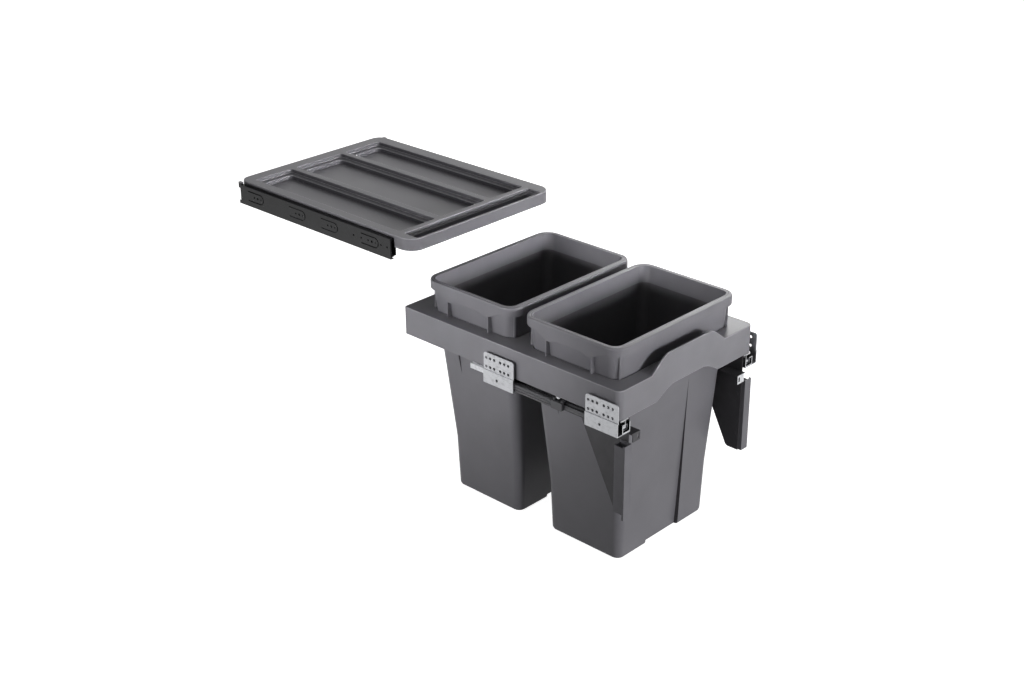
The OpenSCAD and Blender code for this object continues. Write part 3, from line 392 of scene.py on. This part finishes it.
def patch(piece, finish, wanted):
    """Gives the faces that a test wants another finish, such as bare steel where it was cut."""
    piece.data.materials.append(finish)
    open_mesh(piece)
    pick(piece, "FACE", wanted)
    piece.active_material_index = len(piece.data.materials) - 1
    bpy.ops.object.material_slot_assign()
    put_down()


def brim(edge, height):
    """Tells whether an edge runs round a flat top at a height, above an upright face."""
    if any(abs(v.co.z - height) > 0.00012 for v in edge.verts) or len(edge.link_faces) != 2:
        return False
    rises = sorted(f.normal.z for f in edge.link_faces)
    return rises[1] > 0.99 and -0.1 < rises[0] < 0.5


def front_line(edge):
    """Tells whether an edge bounds the frame's front face at its arched top or foot."""
    if any(v.co.y > 0.0002 for v in edge.verts) or len(edge.link_faces) != 2:
        return False
    faces = sorted(edge.link_faces, key=lambda f: f.normal.y)
    return faces[0].normal.y < -0.99 and abs(faces[1].normal.z) > 0.3


def bright_bend(piece, top, depth, outer, finish, ends):
    """Paints a highlight along a cabinet member's bend at its top, and gives its sheared ends bare
    steel where it has them.
    """
    cut_level(piece, top - depth)
    patch(piece, finish, lambda f: (ends and abs(f.normal.y) > 0.8)
          or (f.calc_center_median().z > top - depth and abs(f.calc_center_median().x) > outer))


def bright_flange(piece, side, top):
    """The drawer member's flange under the frame's foot, out over the cabinet member, in near-white
    zinc that paints a highlight line.
    """
    low_x, high_x = sorted(side * x for x in FLANGE_SIDES)
    flange = block((low_x, FLANGE_ENDS[0], top - FLANGE_SHEET), (high_x, FLANGE_ENDS[1], top))
    open_mesh(flange)
    pick(flange, "EDGE", lambda e: all(abs(v.co.x) > 0.171 for v in e.verts))
    bpy.ops.mesh.bevel(offset=0.0004, segments=2, affect="EDGES")
    put_down()
    dress(flange, ZINC_HIGHLIGHT)
    unite(piece, flange)


def paint_shade_inside(piece, middle):
    """Gives a bin's floor and its inner walls, 50 mm high or more, painted shade: a darker copy of
    the ABS.
    """
    def inner(face):
        heights = [v.co.z for v in face.verts]
        centre = face.calc_center_median()
        inward = face.normal.x * centre.x + face.normal.y * (centre.y - middle) < -0.02
        wall = max(heights) - min(heights) > 0.05 and inward
        return wall or (face.normal.z > 0.9 and centre.z < 0.02)

    patch(piece, ABS_PAINTED_SHADE, inner)


# How wide each piece's sharp edges are rounded
EASED = {"carrier_frame": 0.0004, "front_bin": 0.0004, "rear_bin": 0.0004, "lid_tray": 0.0004,
         "front_bag_ring": 0.0003, "rear_bag_ring": 0.0003}
for side in ("left", "right"):
    EASED.update({f"mount_plate_front_{side}": 0.0003, f"mount_plate_rear_{side}": 0.0003,
                  f"door_bracket_{side}": 0.0003, f"door_post_{side}": 0.0004,
                  f"damper_catch_{side}": 0.0003, f"lid_rail_cabinet_{side}": 0.0003,
                  f"runner_drawer_{side}": 0.0003, f"runner_middle_{side}": 0.0002,
                  f"runner_cabinet_{side}": 0.0003})
# Edges rounded with a painted highlight: how wide, and a test for them
EDGE_HIGHLIGHTS = {"carrier_frame": [(0.0012, lambda e: brim(e, FRAME_TOP) or front_line(e))],
          "lid_tray": [(0.0014, lambda e: brim(e, LID_TOP)), (0.001, lambda e: brim(e, LID_LEDGE))]}
for place in ("front", "rear"):
    EDGE_HIGHLIGHTS[f"{place}_bin"] = [(0.001, lambda e: brim(e, BIN_TOP))]
    EDGE_HIGHLIGHTS[f"{place}_bag_ring"] = [(0.0005, lambda e: brim(e, BIN_TOP))]

for node in slot_of:
    dress(frame["nodes"][node], finish_of(node))
    smooth(frame["nodes"][node])
for node, width in EASED.items():
    piece = eased(node, finish_of(node), width, EDGE_HIGHLIGHTS.get(node, ()))
    low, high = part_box(node)
    hand_over(piece, node)
    if node.startswith("runner_cabinet"):
        bright_bend(piece, high[2], 0.0014, 0.1705, CUT_STEEL_AND_HIGHLIGHT, ends=True)
    elif node.startswith("lid_rail_cabinet"):
        bright_bend(piece, high[2], 0.002, 0.18, RAIL_HIGHLIGHT, ends=False)
    elif node.startswith("runner_middle"):
        # Its front end gets painted shade, as dark as the cabinet member.
        patch(piece, RUNNER_PAINTED_SHADE, lambda f: f.normal.y < -0.8)
    elif node == "door_bracket_right":
        # The tab that the door hangs on gets a painted highlight on its front face.
        patch(piece, CUT_STEEL_AND_HIGHLIGHT, lambda f: f.normal.y < -0.8 and f.calc_center_median().y < -0.0045)
    elif node.startswith("runner_drawer"):
        bright_flange(piece, -1 if low[0] < 0 else 1, high[2])
    elif node in ("front_bin", "rear_bin"):
        paint_shade_inside(piece, (low[1] + high[1]) / 2)


def damper_body(node):
    """A gas damper's long ribbed case on the runner's outer wall, and the track of its catch."""
    low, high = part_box(node)
    wall, out = high[0], low[0]
    foot, top = low[2], high[2]
    front, back = high[1] - CASE_LENGTH, high[1]
    case = block((out, front, foot), (wall, back, top))
    # Two grooves along its outer face leave three rounded ribs.
    grooves = [foot + z for z in GROOVES]
    for z in grooves:
        cut_level(case, z)
    open_mesh(case)
    pick(case, "FACE", lambda f: f.normal.x < -0.9)
    bpy.ops.mesh.inset(thickness=0.0011, use_individual=True)
    borders = [foot, top] + grooves
    pick(case, "VERT", lambda v: v.co.x < out + 0.0001
         and (min(abs(v.co.z - z) for z in borders) < 0.0001
              or min(abs(v.co.y - y) for y in (front, back)) < 0.0001))
    bpy.ops.transform.translate(value=(GROOVE_DEPTH, 0, 0))
    pick(case, "EDGE", lambda e: all(v.co.x < out + 0.0001 for v in e.verts))
    bpy.ops.mesh.bevel(offset=0.0008, segments=3, affect="EDGES")
    pick(case, "FACE", lambda f: abs(f.normal.y) > 0.99)
    bpy.ops.mesh.inset(thickness=0.0012)
    put_down()
    soften(case, 0.0003, 40)
    # The catch's track is a shallow trough with rounded front corners.
    middle = (foot + top) / 2 - 0.0005
    track = block((wall - TRACK_DEPTH, low[1], middle - TRACK_HEIGHT / 2),
                  (wall, front, middle + TRACK_HEIGHT / 2))
    open_mesh(track)
    pick(track, "FACE", lambda f: f.normal.x < -0.9)
    bpy.ops.mesh.inset(thickness=0.0018)
    bpy.ops.transform.translate(value=(0.0013, 0, 0))
    pick(track, "EDGE", lambda e: all(abs(v.co.y - low[1]) < 0.0001 for v in e.verts)
         and abs(e.verts[0].co.z - e.verts[1].co.z) < 0.00001)
    bpy.ops.mesh.bevel(offset=0.0025, segments=4, affect="EDGES")
    put_down()
    soften(track, 0.0003, 40)
    unite(case, track)
    case.name = node + "_ribbed"
    case.data.name = case.name
    smooth(case)
    return case


left_damper = damper_body("damper_housing_left")
right_damper = mirrored(left_damper, "damper_housing_right_ribbed")
smooth(right_damper)
for side, piece in (("left", left_damper), ("right", right_damper)):
    dress(piece, NYLON)
    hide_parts(f"damper_housing_{side}")
    hand_over(piece, f"damper_housing_{side}")


# Strength of the white world on the object itself
AMBIENT = 0.19
# Area lamps: name, place, what it points at, width, height, watts, spread in degrees
LAMPS = (("lamp_front", (0.1, -5.0, 1.0), (0.0, 0.3, 0.3), 1.8, 0.35, 205.0, 180),
         ("lamp_lid", (0.5, -2.2, 0.95), (0.0, 0.78, 0.49), 0.5, 0.2, 0.7, 18),
         ("lamp_rear_left", (-1.3, 0.9, 0.45), (-0.17, 0.54, 0.29), 0.4, 0.3, 0.72, 42),
         ("lamp_left", (-3.0, 0.15, 0.75), (0.0, 0.25, 0.41), 0.3, 0.2, 0.3, 12),
         ("lamp_back", (2.0, 2.8, 1.5), (0.0, 0.5, 0.4), 1.4, 1.4, 3.6, 180),
         ("lamp_right", (2.3, 1.55, 1.5), (0.1, 0.1, 0.33), 0.8, 0.8, 18.0, 180),
         ("lamp_top", (0.2, 0.5, 2.8), (0.0, 0.5, 0.3), 1.8, 1.8, 2.0, 180))


def pale_floor():
    """A pale floor at the bins' feet, which keeps the shadows and shows white round them."""
    put_down()
    bpy.ops.mesh.primitive_plane_add(size=12, location=(0, 0.4, -0.0005))
    floor = bpy.context.object
    floor.name = "studio_floor"
    settle(floor)
    # Studio paper: matt, with a mottle of 20 mm that hardly shows. It throws little light back.
    finish, tree, place = new_finish("studio_floor")
    finish.cycles.emission_sampling = "NONE"
    ray = add(tree, "ShaderNodeLightPath")
    seen = add(tree, "ShaderNodeMath", {"operation": "MAXIMUM"}, _0=ray.outputs["Is Camera Ray"],
               _1=ray.outputs["Is Glossy Ray"])
    paper = add(tree, "ShaderNodeTexNoise", Vector=place, Scale=1 / 0.02, Detail=2.0)
    pale = add(tree, "ShaderNodeValToRGB", stops=((0.3, "#e9e9e9"), (0.7, "#ececec")), _0=paper)
    colour = add(tree, "ShaderNodeMix", {"data_type": "RGBA"}, _0=seen, _6=tint("#6a6a6a"),
                 _7=pale).outputs[2]
    diffuse = add(tree, "ShaderNodeBsdfDiffuse", Color=colour)
    in_gloss = add(tree, "ShaderNodeMapRange", Value=ray.outputs["Is Glossy Ray"], To_Max=0.55)
    in_view = add(tree, "ShaderNodeMapRange", Value=ray.outputs["Is Camera Ray"], To_Max=0.95)
    bright = add(tree, "ShaderNodeMath", {"operation": "MAXIMUM"}, _0=in_gloss, _1=in_view)
    glow = add(tree, "ShaderNodeEmission", Color=(1, 1, 1, 1), Strength=bright)
    both = add(tree, "ShaderNodeAddShader", _0=diffuse, _1=glow)
    add(tree, "ShaderNodeOutputMaterial", Surface=both)
    dress(floor, finish)


def white_world():
    """White behind the object and in metal near the horizon, and dim light on the object."""
    world = bpy.data.worlds.new("studio")
    bpy.context.scene.world = world
    world.use_nodes = True
    tree = world.node_tree
    tree.nodes.clear()
    ray = add(tree, "ShaderNodeLightPath")
    height = add(tree, "ShaderNodeSeparateXYZ",
                 _0=add(tree, "ShaderNodeTexCoord").outputs["Generated"]).outputs[2]
    fade = add(tree, "ShaderNodeMapRange", Value=height, From_Min=0.1, From_Max=0.5, To_Min=1.0,
               To_Max=0.35)
    gloss = add(tree, "ShaderNodeMath", {"operation": "MULTIPLY"}, _0=ray.outputs["Is Glossy Ray"],
                _1=fade)
    seen = add(tree, "ShaderNodeMath", {"operation": "MAXIMUM"}, _0=ray.outputs["Is Camera Ray"],
               _1=gloss)
    seen = add(tree, "ShaderNodeMath", {"operation": "MAXIMUM"}, _0=seen,
               _1=ray.outputs["Is Transmission Ray"])
    strength = add(tree, "ShaderNodeMapRange", Value=seen, To_Min=AMBIENT, To_Max=1.0)
    light = add(tree, "ShaderNodeBackground", Color=(1, 1, 1, 1), Strength=strength)
    add(tree, "ShaderNodeOutputWorld", Surface=light)


def soft_lamps():
    """The lamps, each on its stand."""
    for name, place, aim, width, height, power, spread in LAMPS:
        lamp = bpy.data.lights.new(name, "AREA")
        lamp.shape = "RECTANGLE"
        lamp.size = width
        lamp.size_y = height
        lamp.energy = power
        lamp.spread = math.radians(spread)
        stand = bpy.data.objects.new(name, lamp)
        stand.location = place
        stand.rotation_euler = (Vector(aim) - Vector(place)).to_track_quat("-Z", "Y").to_euler()
        bpy.context.scene.collection.objects.link(stand)


def camera():
    """The photograph's own view: 46 degrees round to the left, 25 degrees up, 55.5 mm lens."""
    turn, rise, roll = (math.radians(v) for v in (46.3035, 25.1779, 0.4137))
    back = Vector((-math.sin(turn) * math.cos(rise), -math.cos(turn) * math.cos(rise),
                   math.sin(rise)))
    right = Vector((math.cos(turn), -math.sin(turn), 0))
    up = back.cross(right)
    level_right = math.cos(roll) * right - math.sin(roll) * up
    level_up = math.sin(roll) * right + math.cos(roll) * up
    lens = bpy.data.cameras.new("photo_view")
    lens.lens = 55.54
    lens.sensor_width = 36
    lens.clip_start = 0.05
    lens.clip_end = 50
    stand = bpy.data.objects.new("photo_view", lens)
    turned = Matrix((level_right, level_up, back)).transposed().to_4x4()
    stand.matrix_world = Matrix.Translation((-1.8596, -1.3799, 1.4639)) @ turned
    bpy.context.scene.collection.objects.link(stand)
    bpy.context.scene.camera = stand


pale_floor()
white_world()
soft_lamps()
camera()
bpy.context.scene.view_settings.view_transform = "Standard"
